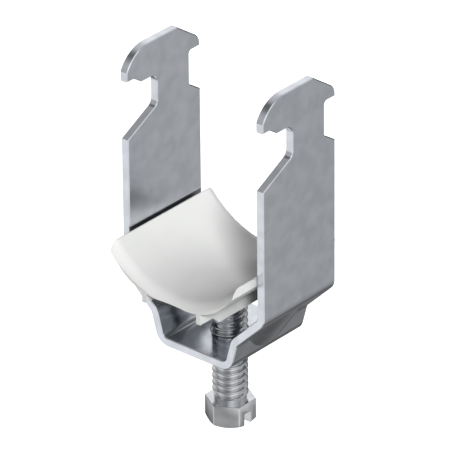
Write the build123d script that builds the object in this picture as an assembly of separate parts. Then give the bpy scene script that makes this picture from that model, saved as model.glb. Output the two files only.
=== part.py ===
from build123d import *
from math import acos, atan2, cos, hypot, radians, sin, sqrt, tan
import os

# Cable clamp that hooks into a slotted rail. All sizes are in millimetres.
# X runs from leg to leg, Y across the strip (front is -Y), Z up along the legs.
# The origin lies on the screw's axis, level with the seats of the front hooks on the rail's lip.

# Strip that the bow is bent from
strip_width = 24.0
strip_thickness = 2.0
bend_radius = 1.5           # inside radius of every bend
edge_break = 0.2            # bevel along the cut edges

# Front view of the bow, measured on the faces that look at the cable
leg_gap = 36.0              # between the legs
mouth_width = 21.0          # across the channel, where its walls meet the ledges
floor_width = 17.6          # across the channel's floor
channel_depth = 6.2         # floor to mouth
ledge_angle = 45.0          # ledges above the horizontal
floor_drop = 57.6           # hook seats down to the channel's floor

# Head of each leg, seen from the side
head_height = 8.5           # hook seat to crown
neck_front = 2.2            # neck's front edge, ahead of the screw's axis
neck_back = 8.45            # neck's back edge, behind the axis
tooth_reach = 7.25          # end of the seat, where the notch for the rail's turned lip starts
notch_reach = 9.6           # where that notch is at its full height
notch_height = 1.6
tip_face = 2.2              # height of the blunt front tip
nose_radius = 8.3           # arc from the tip up to the crown
crown_back = 4.7            # back end of the flat crown
crown_radius = 1.2
tail_drop = 5.0             # crown down to the back corner, before it is rounded
tail_radius = 3.0
back_seat_height = 1.4      # back hook's seat above the front one
seat_fillet = 2.2           # front seat into the neck
notch_fillet = 0.8          # the neck's two back corners
front_slope_top = 7.36      # where the front slope meets the neck, below the seat
front_slope_end = 12.36     # where it meets the strip's edge
slope_fillet = 1.9
back_slope_top = 6.76
back_slope_end = 9.08

# Pressed stiffening in each shoulder, between ledge and channel wall
gusset_half_width = 7.8
gusset_on_ledge = 8.0       # reach from the crease up the ledge
gusset_on_wall = 4.9        # reach from the crease down the wall

# Clamping screw
thread_diameter = 8.0
thread_clearance = 0.05     # radial, in the tapped hole of the floor
hole_chamfer = 0.3
shank_length = 31.2
thread_showing = 15.0       # between the bow's underside and the head
relief_diameter = 7.3       # plain stretch under the head
relief_length = 1.6
tip_chamfer = 0.8
head_across_flats = 10.0
head_thickness = 5.4
head_chamfer_angle = 30.0
head_face_share = 0.95      # diameter of the head's end face, as a share of the width across flats
slot_width = 2.1
slot_depth = 3.0

# Pressure trough
tip_gap = 0.05              # between the screw's tip and the trough
side_clearance = 0.7        # between the trough's ends and the legs
trough_wall = 1.3           # in the middle of the floor
cradle_radius = 22.0        # face that holds the cable, one arc from leg to leg
end_flat = 0.4              # height taken off the arc's sharp ends
underside_width = 21.0      # flat underside, to the lines where the flanks would meet it
flank_angle = 47.0
underside_radius = 13.6     # underside into flank
trough_front = 19.4         # reach ahead of the axis
trough_back = 15.4          # reach behind it
rim_radius = 3.2            # rounding of the cradle's front and back edges
rim_drop = 1.6              # depth at which that rounding ends
rib_spacing = 15.4          # between the middles of the two guide ribs
rib_thickness = 1.15
rib_depth = 2.05            # below the trough's underside, on the overhangs
rib_step = 1.9              # what the middle stretch is deeper
rib_step_inset = 4.3        # overhang's end to where the rib starts to deepen
rib_root = 0.8              # how far the ribs reach up into the wall

# Levels and places that follow
half_width = strip_width / 2
floor_z = -floor_drop
underside_z = floor_z - strip_thickness
mouth_z = floor_z + channel_depth
ledge_rise = (leg_gap - mouth_width) / 2 * tan(radians(ledge_angle))
bearing_z = underside_z - thread_showing
tip_z = bearing_z + shank_length
trough_underside_z = tip_z + tip_gap
cradle_z = trough_underside_z + trough_wall


def beside(points, distance):
    """Corners of a path that runs beside the given one, a distance to its right."""
    sides = []
    for (x0, z0), (x1, z1) in zip(points, points[1:]):
        run = hypot(x1 - x0, z1 - z0)
        sides.append(((z1 - z0) / run, (x0 - x1) / run))
    moved = [(points[0][0] + distance * sides[0][0], points[0][1] + distance * sides[0][1])]
    for (x, z), (ax, az), (bx, bz) in zip(points[1:], sides, sides[1:]):
        share = distance / (1 + ax * bx + az * bz)
        moved.append((x + share * (ax + bx), z + share * (az + bz)))
    moved.append((points[-1][0] + distance * sides[-1][0], points[-1][1] + distance * sides[-1][1]))
    return moved


def inner_path():
    """Front view of the faces that look at the cable, from the left head to the right one."""
    right = [(floor_width / 2, floor_z), (mouth_width / 2, mouth_z),
             (leg_gap / 2, mouth_z + ledge_rise), (leg_gap / 2, head_height)]
    left = [(-x, z) for x, z in reversed(right)]
    return left + right


def bent_strip():
    """Strip of full width, bent to the bow's front view."""
    inside = inner_path()
    outside = beside(inside, strip_thickness)
    tight = bend_radius
    wide = bend_radius + strip_thickness
    inner_line = FilletPolyline(*inside, radius=[tight, wide, tight, tight, wide, tight])
    outer_line = FilletPolyline(*outside, radius=[wide, tight, wide, wide, tight, wide])
    ends = [Line(inner_line @ 0, outer_line @ 0), Line(inner_line @ 1, outer_line @ 1)]
    section = make_face(inner_line.edges() + outer_line.edges() + ends)
    return extrude(Plane.XZ * section, strip_width / 2, both=True)


def head_outline():
    """Side view of a leg: head with a hook each way, neck, sloped shoulders, full width below."""
    foot_z = underside_z - strip_thickness
    tip_top = notch_height + tip_face
    crown_start = sqrt(nose_radius**2 - (tip_top - head_height + nose_radius) ** 2) - half_width
    nose_low = atan2(tip_top - head_height + nose_radius, half_width + crown_start)
    nose_middle = (nose_low + radians(90)) / 2
    nose_point = (crown_start - nose_radius * cos(nose_middle),
                  head_height - nose_radius + nose_radius * sin(nose_middle))
    front = FilletPolyline(
        (-half_width, foot_z), (-half_width, -front_slope_end), (-neck_front, -front_slope_top),
        (-neck_front, 0), (-tooth_reach, 0), (-notch_reach, notch_height),
        (-half_width, notch_height), (-half_width, tip_top),
        radius=[0, slope_fillet, seat_fillet, 0, 0, 0])
    nose = ThreePointArc((-half_width, tip_top), nose_point, (crown_start, head_height))
    back = FilletPolyline(
        (crown_start, head_height), (crown_back, head_height), (half_width, head_height - tail_drop),
        (half_width, back_seat_height), (neck_back, back_seat_height), (neck_back, -back_slope_top),
        (half_width, -back_slope_end), (half_width, foot_z),
        radius=[crown_radius, tail_radius, 0, notch_fillet, notch_fillet, 0])
    foot = Line((half_width, foot_z), (-half_width, foot_z))
    return make_face(front.edges() + [nose] + back.edges() + [foot])


def pressing_corners(distance):
    """End on the right ledge, crease and end on the wall, a distance out from the inner face."""
    path = [Vector(*corner) for corner in beside(inner_path(), distance)]
    *_, wall_foot, crease, ledge_top, _ = path
    on_ledge = crease + (ledge_top - crease).normalized() * gusset_on_ledge
    on_wall = crease + (wall_foot - crease).normalized() * gusset_on_wall
    return [on_ledge, crease, on_wall]


def gusset_roll(shrink):
    """Right shoulder's pressing as a long roll, whose outermost line joins ledge and wall."""
    on_ledge, crease, on_wall = pressing_corners(strip_thickness)
    down = (on_wall - on_ledge).normalized()
    depth = abs((crease - on_ledge).cross(down).Z)
    radius = (gusset_half_width**2 + depth**2) / (2 * depth)
    along = Vector(down.X, 0, down.Y)
    outward = Vector(-down.Y, 0, down.X)
    middle = (on_ledge + on_wall) / 2
    centre = Vector(middle.X, 0, middle.Y) - outward * radius
    length = gusset_on_ledge + gusset_on_wall
    return Plane(centre, x_dir=(0, 1, 0), z_dir=along) * Cylinder(radius - shrink, length)


def gusset_zone(first, last):
    """Prism across the right shoulder between two distances outward from its inner face."""
    ring = pressing_corners(first) + pressing_corners(last)[::-1]
    face = make_face(Polyline(*[(corner.X, corner.Y) for corner in ring], close=True).edges())
    return extrude(Plane.XZ * face, gusset_half_width + strip_thickness, both=True)


def press_gussets(bow):
    """Push both shoulders' middles outward, at the strip's full thickness."""
    outside = gusset_roll(0) & gusset_zone(strip_thickness / 2, 2 * strip_thickness)
    inside = gusset_roll(strip_thickness) & gusset_zone(-strip_thickness, strip_thickness / 2)
    for swelling, hollow in ((outside, inside), (mirror(outside, Plane.YZ), mirror(inside, Plane.YZ))):
        bow = bow + swelling - hollow
    return bow


def screw_hole():
    """Tapped hole through the channel's floor, chamfered on both faces."""
    radius = thread_diameter / 2 + thread_clearance
    wide = radius + hole_chamfer
    half = [(0, underside_z), (wide, underside_z), (radius, underside_z + hole_chamfer),
            (radius, floor_z - hole_chamfer), (wide, floor_z), (0, floor_z)]
    return revolve(Plane.XZ * make_face(Polyline(*half, close=True).edges()), Axis.Z)


def break_edges(bow):
    """Bevel the cut edges: all but the corners through the sheet and the lines along its bends."""
    corners = bow.edges().filter_by(Axis.X).filter_by(lambda edge: edge.length < 1.01 * strip_thickness)
    bends = bow.edges().filter_by(Axis.Y).filter_by(lambda edge: edge.length > 0.99 * strip_width)
    return chamfer(bow.edges() - corners - bends, edge_break)


def make_bow():
    """Bent and stamped strip with its pressings and the tapped hole."""
    outline = extrude(Plane.YZ * head_outline(), leg_gap, both=True)
    bow = break_edges(bent_strip() & outline)
    return press_gussets(bow) - screw_hole()


def make_screw():
    """Slotted hexagon-head screw, head down, at its thread's outside diameter."""
    radius = thread_diameter / 2
    relief = relief_diameter / 2
    shank = [(0, bearing_z), (relief, bearing_z), (relief, bearing_z + relief_length),
             (radius, bearing_z + relief_length + radius - relief), (radius, tip_z - tip_chamfer),
             (radius - tip_chamfer, tip_z), (0, tip_z)]
    end_z = bearing_z - head_thickness
    face_radius = head_face_share * head_across_flats / 2
    hexagon = RegularPolygon(head_across_flats / 2, 6, major_radius=False, rotation=30)
    corner_radius = hexagon.bounding_box().size.Y / 2
    cone = [(0, end_z), (face_radius, end_z),
            (corner_radius, end_z + (corner_radius - face_radius) * tan(radians(head_chamfer_angle))),
            (corner_radius, bearing_z), (0, bearing_z)]
    turned = revolve(Plane.XZ * make_face(Polyline(*cone, close=True).edges()), Axis.Z)
    head = extrude(Plane.XY.offset(end_z) * hexagon, head_thickness) & turned
    slot = Pos(0, 0, end_z) * Box(2 * head_across_flats, slot_width, 2 * slot_depth)
    return head - slot + revolve(Plane.XZ * make_face(Polyline(*shank, close=True).edges()), Axis.Z)


def trough_section():
    """Front view of the trough as a full block: flat underside, round into straight flanks."""
    end_x = leg_gap / 2 - side_clearance
    corner_x = underside_width / 2
    end_z = trough_underside_z + (end_x - corner_x) * tan(radians(flank_angle))
    arc_rise = cradle_radius - sqrt(cradle_radius**2 - end_x**2)
    top_z = cradle_z + arc_rise - end_flat
    right = [(corner_x, trough_underside_z), (end_x, end_z), (end_x, top_z)]
    left = [(-x, z) for x, z in reversed(right)]
    outline = FilletPolyline(*left, *right, radius=[0, underside_radius, underside_radius, 0])
    return make_face(outline.edges() + [Line(outline @ 1, outline @ 0)])


def cradle_space(first_y, last_y):
    """What is turned out of the block: a round bar that widens over the two rounded rims."""
    axis_z = cradle_z + cradle_radius
    rim_z = cradle_z - rim_drop
    full = acos(1 - rim_drop / rim_radius)
    rounding = [(rim_radius * (sin(full) - sin(turn)), rim_radius * (1 - cos(turn)))
                for turn in (full, full / 2, 0)]
    front = [(first_y + inward, cradle_z - depth) for inward, depth in rounding]
    back = [(last_y - inward, cradle_z - depth) for inward, depth in rounding]
    far_front, far_back = first_y - rim_radius, last_y + rim_radius
    rest = Polyline((last_y, rim_z), (far_back, rim_z), (far_back, axis_z),
                    (far_front, axis_z), (far_front, rim_z), (first_y, rim_z))
    edges = [ThreePointArc(*front), Line(front[-1], back[-1]), ThreePointArc(*back)] + rest.edges()
    return revolve(Plane.YZ * make_face(edges), Axis((0, 0, axis_z), (0, 1, 0)))


def rib_side(centre_y, reach):
    """Side view of a guide rib: shallow on both overhangs, deeper between them."""
    root = trough_underside_z + rib_root
    shallow = trough_underside_z - rib_depth
    deep = shallow - rib_step
    out = reach - rib_step_inset
    side = [(-reach, root), (-reach, shallow), (-out, shallow), (rib_step - out, deep)]
    ring = side + [(-y, z) for y, z in reversed(side)]
    return make_face(Polyline(*[(centre_y + y, z) for y, z in ring], close=True).edges())


def make_trough():
    """Moulded saddle that the screw's tip lifts, with two ribs that run in the channel."""
    centre_y = (trough_back - trough_front) / 2
    reach = (trough_back + trough_front) / 2
    trough = extrude(Plane.XZ.offset(-centre_y) * trough_section(), reach, both=True)
    rib = extrude(Plane.YZ * rib_side(centre_y, reach), rib_thickness / 2, both=True)
    for x in (-rib_spacing / 2, rib_spacing / 2):
        trough += Pos(x, 0, 0) * rib
    return trough - cradle_space(-trough_front, trough_back)


os.makedirs("parts", exist_ok=True)
pieces = {
    "clamp_bow": make_bow(),
    "clamping_screw": make_screw(),
    "pressure_trough": make_trough(),
}
for name, piece in pieces.items():
    export_step(piece, f"parts/{name}.step")
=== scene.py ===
import bpy
import bmesh
from math import cos, pi, radians, sin
from mathutils import Matrix, Vector


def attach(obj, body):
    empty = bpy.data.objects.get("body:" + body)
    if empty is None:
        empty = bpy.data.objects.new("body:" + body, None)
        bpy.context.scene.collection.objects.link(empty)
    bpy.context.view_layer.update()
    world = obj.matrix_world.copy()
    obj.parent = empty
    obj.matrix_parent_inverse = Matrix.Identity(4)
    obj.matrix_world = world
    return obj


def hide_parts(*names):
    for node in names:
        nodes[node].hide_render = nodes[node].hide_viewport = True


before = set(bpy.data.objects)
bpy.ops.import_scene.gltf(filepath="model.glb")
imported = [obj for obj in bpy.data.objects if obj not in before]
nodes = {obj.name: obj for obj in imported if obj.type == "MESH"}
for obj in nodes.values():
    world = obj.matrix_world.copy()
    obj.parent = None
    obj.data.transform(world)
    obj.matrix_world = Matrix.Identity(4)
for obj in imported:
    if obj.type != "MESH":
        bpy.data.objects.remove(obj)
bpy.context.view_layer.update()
bpy.context.scene.view_settings.view_transform = "Standard"
print("frame loaded:", ", ".join(sorted(nodes)))


# the photo's viewpoint, solved from the strip's corners
camera = {
    "azimuth": 40.57,  # degrees from the front, towards +X
    "elevation": 28.39,
    "roll": -0.56,
    "target": (-0.00344, 0.00377, -0.03529),
    "distance": 1.2553,
    "lens": 455.3,
    "sensor": 36,
    "clip": (0.05, 20),
}

studio = {
    "floorZ": -0.30,  # the clamp hangs, so the floor is well below it
    "floorSize": 4.0,
    "floorTone": 0.8,
    "floorGlow": 0.9,  # seen by the camera only
    "floorRoughness": 0.9,
    "ambient": 0.08,  # what the world adds to every diffuse surface
    "background": 1.0,
    "cardLevel": 0.86,  # dims or lifts all cards together
}

# soft cards that only mirrored rays see: level of each, by azimuth and elevation in degrees
cardSpread = (38, 5)  # where a card's glow ends, and where it is full
cards = {
    "under": ((-180, -90, 0.14),),
    "low": ((-180, -60, 0.06), (-108, -60, 0.06), (-36, -60, 0.20), (36, -60, 0.20)),
    "belowHorizon": (
        (-165, -28, 0.13), (-135, -28, 0.08), (-105, -28, 0.10), (-75, -28, 0.25),
        (-45, -28, 0.70), (-15, -28, 0.45), (15, -28, 0.10), (45, -28, 0.33),
        (75, -28, 0.90), (105, -28, 0.35), (135, -28, 0.41),
    ),
    "horizon": (
        (-180, 8, 0.02), (-135, 8, 0.70), (-90, 2, 0.40), (-45, 12, 0.40),
        (0, 8, 0.27), (45, 8, 0.80), (90, 8, 0.24), (135, 8, 0.47),
    ),
    "high": (
        (-180, 42, 0.60), (-124, 41, 0.78), (-60, 42, 0.10), (-44, 30, 0.18),
        (0, 42, 0.35), (60, 42, 1.0), (120, 42, 0.60),
    ),
}

# azimuth, elevation, distance, size and power; metal doesn't mirror them
lamps = {
    "key": (50, 34, 1.0, 0.24, 10.4),
    "side": (116, 50, 1.0, 0.35, 2.5),
    "back": (205, 4, 1.0, 0.35, 2.6),
}


def aimDirection(azimuth, elevation):
    a, e = radians(azimuth), radians(elevation)
    return Vector((sin(a) * cos(e), -cos(a) * cos(e), sin(e)))


def addCamera():
    back = aimDirection(camera["azimuth"], camera["elevation"])
    data = bpy.data.cameras.new("photoCamera")
    data.lens = camera["lens"]
    data.sensor_width = camera["sensor"]
    data.clip_start, data.clip_end = camera["clip"]
    view = bpy.data.objects.new("photoCamera", data)
    turn = (-back).to_track_quat("-Z", "Y").to_matrix().to_4x4()
    roll = Matrix.Rotation(radians(camera["roll"]), 4, "Z")
    place = Matrix.Translation(Vector(camera["target"]) + back * camera["distance"])
    view.matrix_world = place @ turn @ roll
    bpy.context.scene.collection.objects.link(view)
    bpy.context.scene.camera = view


def addLamps():
    middle = Vector(camera["target"])
    for name, (azimuth, elevation, distance, size, power) in lamps.items():
        data = bpy.data.lights.new(name, "AREA")
        data.shape, data.size, data.energy = "DISK", size, power
        lamp = bpy.data.objects.new(name, data)
        lamp.visible_glossy = False
        away = aimDirection(azimuth, elevation)
        lamp.location = middle + away * distance
        lamp.rotation_mode = "QUATERNION"
        lamp.rotation_quaternion = away.to_track_quat("Z", "Y")
        bpy.context.scene.collection.objects.link(lamp)


def addWorld():
    world = bpy.data.worlds.new("studio")
    world.use_nodes = True
    bpy.context.scene.world = world
    tree = world.node_tree
    tree.nodes.clear()
    direction = tree.nodes.new("ShaderNodeTexCoord").outputs["Generated"]
    path = tree.nodes.new("ShaderNodeLightPath")

    mirrored = None
    for azimuth, elevation, level in sum(cards.values(), ()):
        facing = tree.nodes.new("ShaderNodeVectorMath")
        facing.operation = "DOT_PRODUCT"
        facing.inputs[1].default_value = aimDirection(azimuth, elevation)
        tree.links.new(direction, facing.inputs[0])
        glow = tree.nodes.new("ShaderNodeMapRange")
        glow.interpolation_type = "SMOOTHSTEP"
        glow.inputs["From Min"].default_value = cos(radians(cardSpread[0]))
        glow.inputs["From Max"].default_value = cos(radians(cardSpread[1]))
        glow.inputs["To Max"].default_value = level * studio["cardLevel"]
        tree.links.new(facing.outputs["Value"], glow.inputs["Value"])
        if mirrored:
            add = tree.nodes.new("ShaderNodeMath")
            tree.links.new(mirrored, add.inputs[0])
            tree.links.new(glow.outputs["Result"], add.inputs[1])
            mirrored = add.outputs["Value"]
        else:
            mirrored = glow.outputs["Result"]

    plain = (studio["ambient"],) * 3 + (1,)
    inGloss = tree.nodes.new("ShaderNodeMix")
    inGloss.data_type = "RGBA"
    inGloss.inputs["A"].default_value = plain
    # a mirrored ray that comes off a lit matt surface gets the plain level, not the cards
    direct = tree.nodes.new("ShaderNodeMath")
    direct.operation = "LESS_THAN"
    direct.inputs[1].default_value = 0.5
    tree.links.new(path.outputs["Diffuse Depth"], direct.inputs[0])
    gloss = tree.nodes.new("ShaderNodeMath")
    gloss.operation = "MULTIPLY"
    tree.links.new(path.outputs["Is Glossy Ray"], gloss.inputs[0])
    tree.links.new(direct.outputs["Value"], gloss.inputs[1])
    tree.links.new(gloss.outputs["Value"], inGloss.inputs["Factor"])
    tree.links.new(mirrored, inGloss.inputs["B"])
    seen = tree.nodes.new("ShaderNodeMix")
    seen.data_type = "RGBA"
    seen.inputs["B"].default_value = (studio["background"],) * 3 + (1,)
    tree.links.new(path.outputs["Is Camera Ray"], seen.inputs["Factor"])
    tree.links.new(inGloss.outputs["Result"], seen.inputs["A"])
    light = tree.nodes.new("ShaderNodeBackground")
    tree.links.new(seen.outputs["Result"], light.inputs["Color"])
    out = tree.nodes.new("ShaderNodeOutputWorld")
    tree.links.new(light.outputs["Background"], out.inputs["Surface"])


def addFloor():
    half = studio["floorSize"] / 2
    mesh = bpy.data.meshes.new("floor")
    corners = [(-half, -half), (half, -half), (half, half), (-half, half)]
    mesh.from_pydata([(x, y, studio["floorZ"]) for x, y in corners], [], [(0, 1, 2, 3)])
    floor = bpy.data.objects.new("floor", mesh)
    bpy.context.scene.collection.objects.link(floor)
    floor.visible_glossy = False
    material = bpy.data.materials.new("paleFloor")
    material.use_nodes = True
    tree = material.node_tree
    shader = tree.nodes["Principled BSDF"]
    shader.inputs["Base Color"].default_value = (studio["floorTone"],) * 3 + (1,)
    shader.inputs["Roughness"].default_value = studio["floorRoughness"]
    path = tree.nodes.new("ShaderNodeLightPath")
    shader.inputs["Emission Color"].default_value = (1, 1, 1, 1)
    lift = tree.nodes.new("ShaderNodeMath")
    lift.operation = "MULTIPLY"
    lift.inputs[1].default_value = studio["floorGlow"]
    tree.links.new(path.outputs["Is Camera Ray"], lift.inputs[0])
    tree.links.new(lift.outputs["Value"], shader.inputs["Emission Strength"])
    mesh.materials.append(material)


addCamera()
addLamps()
addWorld()
addFloor()
print("camera, lamps and floor placed")


def newFinish(name):
    material = bpy.data.materials.new(name)
    material.use_nodes = True
    tree = material.node_tree
    place = tree.nodes.new("ShaderNodeTexCoord").outputs["Object"]
    return material, tree, tree.nodes["Principled BSDF"], place


def noise(tree, place, scale, detail=2.0, distortion=0.0):
    texture = tree.nodes.new("ShaderNodeTexNoise")
    texture.inputs["Scale"].default_value = scale
    texture.inputs["Detail"].default_value = detail
    texture.inputs["Distortion"].default_value = distortion
    tree.links.new(place, texture.inputs["Vector"])
    return texture.outputs["Fac"]


# a noise texture seldom leaves this span
noiseSpan = (0.3, 0.7)


def mapped(tree, value, low, high):
    spread = tree.nodes.new("ShaderNodeMapRange")
    spread.inputs["From Min"].default_value = noiseSpan[0]
    spread.inputs["From Max"].default_value = noiseSpan[1]
    spread.inputs["To Min"].default_value = low
    spread.inputs["To Max"].default_value = high
    tree.links.new(value, spread.inputs["Value"])
    return spread.outputs["Result"]


def bumped(tree, shader, height, strength, distance):
    bump = tree.nodes.new("ShaderNodeBump")
    bump.inputs["Strength"].default_value = strength
    bump.inputs["Distance"].default_value = distance
    tree.links.new(height, bump.inputs["Height"])
    tree.links.new(bump.outputs["Normal"], shader.inputs["Normal"])


zinc = {
    "spangle": 260,  # scale of the soft patches, the higher the smaller
    "spangleDetail": 1.5,
    "spangleWarp": 0.2,
    "grain": 1.6,  # how much finer the patches of roughness are
    "grainTurn": (0.9, 0.4, 1.3),  # so that they don't follow the tones
    "tones": [
        (0.0, (0.61, 0.64, 0.684)),
        (0.35, (0.64, 0.67, 0.714)),
        (0.6, (0.675, 0.70, 0.752)),
        (1.0, (0.71, 0.73, 0.79)),
    ],
    "roughness": (0.16, 0.22),
    "bump": 0.02,
    "pits": 1800,  # scale of the bump
    "pitDepth": 0.00005,
}
# the screw's zinc is finer, shinier and less blue
screwTouch = {
    **zinc,
    "spangle": 500,
    "tones": [(0.0, (0.59, 0.60, 0.62)), (0.5, (0.63, 0.64, 0.66)), (1.0, (0.67, 0.68, 0.70))],
    "roughness": (0.13, 0.18),
    "bump": 0.01,
}


def zincFinish(name, look):
    material, tree, shader, place = newFinish(name)
    shader.inputs["Metallic"].default_value = 1.0
    # two soft noises stand for the crystals: the first picks the tone, the second the roughness
    patches = noise(tree, place, look["spangle"], look["spangleDetail"], look["spangleWarp"])
    turned = tree.nodes.new("ShaderNodeMapping")
    turned.inputs["Rotation"].default_value = look["grainTurn"]
    tree.links.new(place, turned.inputs["Vector"])
    grain = noise(tree, turned.outputs["Vector"], look["grain"] * look["spangle"], 1.0)
    ramp = tree.nodes.new("ShaderNodeValToRGB")
    while len(ramp.color_ramp.elements) < len(look["tones"]):
        ramp.color_ramp.elements.new(0.5)
    for element, (where, tone) in zip(ramp.color_ramp.elements, look["tones"]):
        element.position, element.color = where, (*tone, 1)
    tree.links.new(mapped(tree, patches, 0, 1), ramp.inputs["Fac"])
    tree.links.new(ramp.outputs["Color"], shader.inputs["Base Color"])
    tree.links.new(mapped(tree, grain, *look["roughness"]), shader.inputs["Roughness"])
    bumped(tree, shader, noise(tree, place, look["pits"]), look["bump"], look["pitDepth"])
    return material


plastic = {
    "colour": ((0.695, 0.705, 0.695), (0.725, 0.73, 0.72)),
    "roughness": (0.38, 0.46),
    "sheen": 0.25,  # share of the usual mirror strength
    "bump": 0.05,
    "clouds": 120,  # scales of colour, roughness and bump
    "smears": 400,
    "pits": 5000,
    "pitDepth": 0.00003,
}


def plasticFinish(name, look):
    material, tree, shader, place = newFinish(name)
    shader.inputs["Specular IOR Level"].default_value = look["sheen"]
    shade = tree.nodes.new("ShaderNodeMix")
    shade.data_type = "RGBA"
    for side, colour in zip("AB", look["colour"]):
        shade.inputs[side].default_value = (*colour, 1)
    clouds = mapped(tree, noise(tree, place, look["clouds"]), 0, 1)
    tree.links.new(clouds, shade.inputs["Factor"])
    tree.links.new(shade.outputs["Result"], shader.inputs["Base Color"])
    smears = mapped(tree, noise(tree, place, look["smears"]), *look["roughness"])
    tree.links.new(smears, shader.inputs["Roughness"])
    bumped(tree, shader, noise(tree, place, look["pits"]), look["bump"], look["pitDepth"])
    return material


sheetZinc = zincFinish("galvanisedSheet", zinc)
screwZinc = zincFinish("galvanisedScrew", screwTouch)
whitePlastic = plasticFinish("troughPlastic", plastic)


def dress(node, material):
    node.data.materials.clear()
    node.data.materials.append(material)


dress(nodes["clamp_bow"], sheetZinc)
dress(nodes["pressure_trough"], whitePlastic)
print("finishes made")


# lengths in metres, heights in the part's frame
thread = {
    "Pitch": 0.0016,
    "Crest Radius": 0.004,
    "Root Radius": 0.0032,
    "Low End": -0.0748,  # inside the head
    "Top End": -0.0434,
    "Tip Bevel": 0.0008,
    "Relief Radius": 0.00365,  # plain neck under the head
    "Relief Top": -0.0736,
    "Relief Fade": 0.0002,
    "Start": 0.00079,  # lifts the helix to where the photo shows its crests
    "Turns": 22,
    "Pitches below": 1.5,  # wound under the low end, and pressed flat there
    "Steps per Turn": 48,
    "Steps across": 16,
    "Crest Share": 0.125,  # flat crest and flat root, as shares of the pitch
    "Root Share": 0.25,
    "Weld": 0.000002,
}

head = {
    "bearing": -0.0746,  # its upper side, where the shank starts
    "slack": 0.00001,
    "weld": 0.000001,
    "flatBelow": 1,  # degrees between triangles that are one face
    "sharpFrom": 14,  # degrees between faces that get a bevel
    "bevel": 0.00016,
    "bevelSteps": 2,
}
smoothBelow = 30  # degrees


def plug(tree, value, socket):
    if isinstance(value, bpy.types.NodeSocket):
        tree.links.new(value, socket)
    else:
        socket.default_value = value


def reckon(tree, operation, *values):
    step = tree.nodes.new("ShaderNodeMath")
    step.operation = operation
    for socket, value in zip(step.inputs, values):
        plug(tree, value, socket)
    return step.outputs["Value"]


def between(tree, value, low=0.0, high=1.0):
    clamp = tree.nodes.new("ShaderNodeClamp")
    for socket, given in zip(clamp.inputs, (value, low, high)):
        plug(tree, given, socket)
    return clamp.outputs["Result"]


def capDisc(tree, steps, radius, height, flipped):
    disc = tree.nodes.new("GeometryNodeMeshCircle")
    disc.fill_type = "NGON"
    plug(tree, steps, disc.inputs["Vertices"])
    plug(tree, radius, disc.inputs["Radius"])
    lift = tree.nodes.new("ShaderNodeCombineXYZ")
    plug(tree, height, lift.inputs["Z"])
    shift = tree.nodes.new("GeometryNodeTransform")
    tree.links.new(disc.outputs["Mesh"], shift.inputs["Geometry"])
    tree.links.new(lift.outputs["Vector"], shift.inputs["Translation"])
    if not flipped:
        return shift.outputs["Geometry"]
    turned = tree.nodes.new("GeometryNodeFlipFaces")
    tree.links.new(shift.outputs["Geometry"], turned.inputs["Mesh"])
    return turned.outputs["Mesh"]


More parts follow.
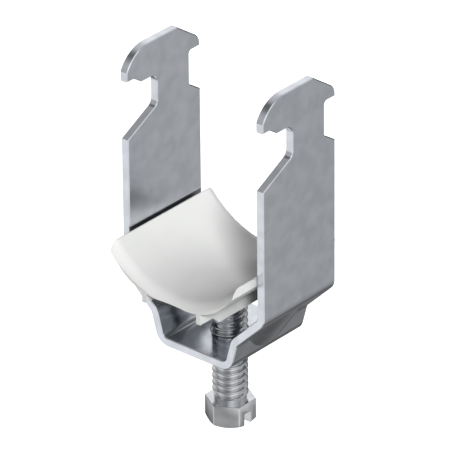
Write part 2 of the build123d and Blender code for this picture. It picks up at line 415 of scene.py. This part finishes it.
# a grid wound into a helix: along it runs the angle, across it one pitch of the profile
def threadTree(values):
    tree = bpy.data.node_groups.new("screwThread", "GeometryNodeTree")
    for name, value in values.items():
        kind = "NodeSocketInt" if isinstance(value, int) else "NodeSocketFloat"
        tree.interface.new_socket(name, in_out="INPUT", socket_type=kind)
    tree.interface.new_socket("Material", in_out="INPUT", socket_type="NodeSocketMaterial")
    tree.interface.new_socket("Geometry", in_out="OUTPUT", socket_type="NodeSocketGeometry")
    given = tree.nodes.new("NodeGroupInput").outputs

    grid = tree.nodes.new("GeometryNodeMeshGrid")
    plug(tree, 1.0, grid.inputs["Size X"])
    plug(tree, 1.0, grid.inputs["Size Y"])
    along = reckon(tree, "MULTIPLY", given["Turns"], given["Steps per Turn"])
    plug(tree, reckon(tree, "ADD", along, 1), grid.inputs["Vertices X"])
    plug(tree, reckon(tree, "ADD", given["Steps across"], 1), grid.inputs["Vertices Y"])
    position = tree.nodes.new("GeometryNodeInputPosition").outputs["Position"]
    place = tree.nodes.new("ShaderNodeSeparateXYZ")
    tree.links.new(position, place.inputs["Vector"])

    turns = reckon(tree, "MULTIPLY", reckon(tree, "ADD", place.outputs["X"], 0.5), given["Turns"])
    angle = reckon(tree, "MULTIPLY", turns, 2 * pi)
    first = reckon(tree, "SUBTRACT", place.outputs["Y"], given["Pitches below"])
    pitches = reckon(tree, "ADD", turns, first)
    climb = reckon(tree, "MULTIPLY_ADD", pitches, given["Pitch"], given["Start"])
    level = reckon(tree, "ADD", climb, given["Low End"])
    height = between(tree, level, given["Low End"], given["Top End"])

    # all in shares of the pitch, counted from the middle of the crest
    side = reckon(tree, "ABSOLUTE", place.outputs["Y"])
    crestEnd = reckon(tree, "MULTIPLY", given["Crest Share"], 0.5)
    rootStart = reckon(tree, "SUBTRACT", 0.5, reckon(tree, "MULTIPLY", given["Root Share"], 0.5))
    flankWidth = reckon(tree, "SUBTRACT", rootStart, crestEnd)
    fromRoot = reckon(tree, "SUBTRACT", rootStart, side)
    flank = between(tree, reckon(tree, "DIVIDE", fromRoot, flankWidth))
    depth = reckon(tree, "SUBTRACT", given["Crest Radius"], given["Root Radius"])
    wave = reckon(tree, "MULTIPLY_ADD", flank, depth, given["Root Radius"])
    aboveNeck = reckon(tree, "SUBTRACT", height, given["Relief Top"])
    fade = between(tree, reckon(tree, "DIVIDE", aboveNeck, given["Relief Fade"]))
    change = reckon(tree, "SUBTRACT", wave, given["Relief Radius"])
    body = reckon(tree, "MULTIPLY_ADD", change, fade, given["Relief Radius"])
    tipRadius = reckon(tree, "SUBTRACT", given["Crest Radius"], given["Tip Bevel"])
    limit = reckon(tree, "ADD", tipRadius, reckon(tree, "SUBTRACT", given["Top End"], height))
    radius = reckon(tree, "MINIMUM", body, limit)

    wound = tree.nodes.new("ShaderNodeCombineXYZ")
    plug(tree, reckon(tree, "MULTIPLY", radius, reckon(tree, "COSINE", angle)), wound.inputs["X"])
    plug(tree, reckon(tree, "MULTIPLY", radius, reckon(tree, "SINE", angle)), wound.inputs["Y"])
    plug(tree, height, wound.inputs["Z"])
    bend = tree.nodes.new("GeometryNodeSetPosition")
    tree.links.new(grid.outputs["Mesh"], bend.inputs["Geometry"])
    tree.links.new(wound.outputs["Vector"], bend.inputs["Position"])

    join = tree.nodes.new("GeometryNodeJoinGeometry")
    tree.links.new(bend.outputs["Geometry"], join.inputs["Geometry"])
    lowCap = capDisc(tree, given["Steps per Turn"], given["Relief Radius"], given["Low End"], True)
    topCap = capDisc(tree, given["Steps per Turn"], tipRadius, given["Top End"], False)
    tree.links.new(lowCap, join.inputs["Geometry"])
    tree.links.new(topCap, join.inputs["Geometry"])
    weld = tree.nodes.new("GeometryNodeMergeByDistance")
    plug(tree, given["Weld"], weld.inputs["Distance"])
    tree.links.new(join.outputs["Geometry"], weld.inputs["Geometry"])
    real = tree.nodes.new("GeometryNodeRealizeInstances")
    tree.links.new(weld.outputs["Geometry"], real.inputs["Geometry"])
    paint = tree.nodes.new("GeometryNodeSetMaterial")
    tree.links.new(real.outputs["Geometry"], paint.inputs["Geometry"])
    tree.links.new(given["Material"], paint.inputs["Material"])
    out = tree.nodes.new("NodeGroupOutput")
    tree.links.new(paint.outputs["Geometry"], out.inputs["Geometry"])
    return tree


def runTree(tree, values):
    base = bpy.data.objects.new("threadBase", bpy.data.meshes.new("threadBase"))
    bpy.context.scene.collection.objects.link(base)
    modifier = base.modifiers.new("thread", "NODES")
    modifier.node_group = tree
    for socket in tree.interface.items_tree:
        if socket.in_out == "INPUT":
            modifier[socket.identifier] = values[socket.name]
    graph = bpy.context.evaluated_depsgraph_get()
    mesh = bpy.data.meshes.new_from_object(base.evaluated_get(graph), depsgraph=graph)
    bpy.data.objects.remove(base)
    return mesh


# the CAD head alone, closed on top and with its edges just broken
def headShell(node):
    shell = bmesh.new()
    shell.from_mesh(node.data)
    bmesh.ops.remove_doubles(shell, verts=shell.verts, dist=head["weld"])
    above = [v for v in shell.verts if v.co.z > head["bearing"] + head["slack"]]
    bmesh.ops.delete(shell, geom=above, context="VERTS")
    bmesh.ops.holes_fill(shell, edges=[e for e in shell.edges if e.is_boundary])
    flat = radians(head["flatBelow"])
    bmesh.ops.dissolve_limit(shell, angle_limit=flat, verts=shell.verts, edges=shell.edges)
    bmesh.ops.recalc_face_normals(shell, faces=shell.faces)
    sharp = [e for e in shell.edges if e.calc_face_angle(0) > radians(head["sharpFrom"])]
    bmesh.ops.bevel(
        shell, geom=sharp, affect="EDGES", profile=0.5,
        offset=head["bevel"], segments=head["bevelSteps"],
    )
    return shell


def buildScrew(node, material):
    wound = runTree(threadTree(thread), {**thread, "Material": material})
    shell = headShell(node)
    shell.from_mesh(wound)
    mesh = bpy.data.meshes.new("slottedScrew")
    shell.to_mesh(mesh)
    shell.free()
    mesh.materials.clear()
    mesh.materials.append(material)
    mesh.shade_smooth()
    mesh.set_sharp_from_angle(angle=radians(smoothBelow))
    screw = bpy.data.objects.new("slottedScrew", mesh)
    bpy.context.scene.collection.objects.link(screw)
    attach(screw, "screw")
    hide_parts("clamping_screw")


buildScrew(nodes["clamping_screw"], screwZinc)
print("screw built")
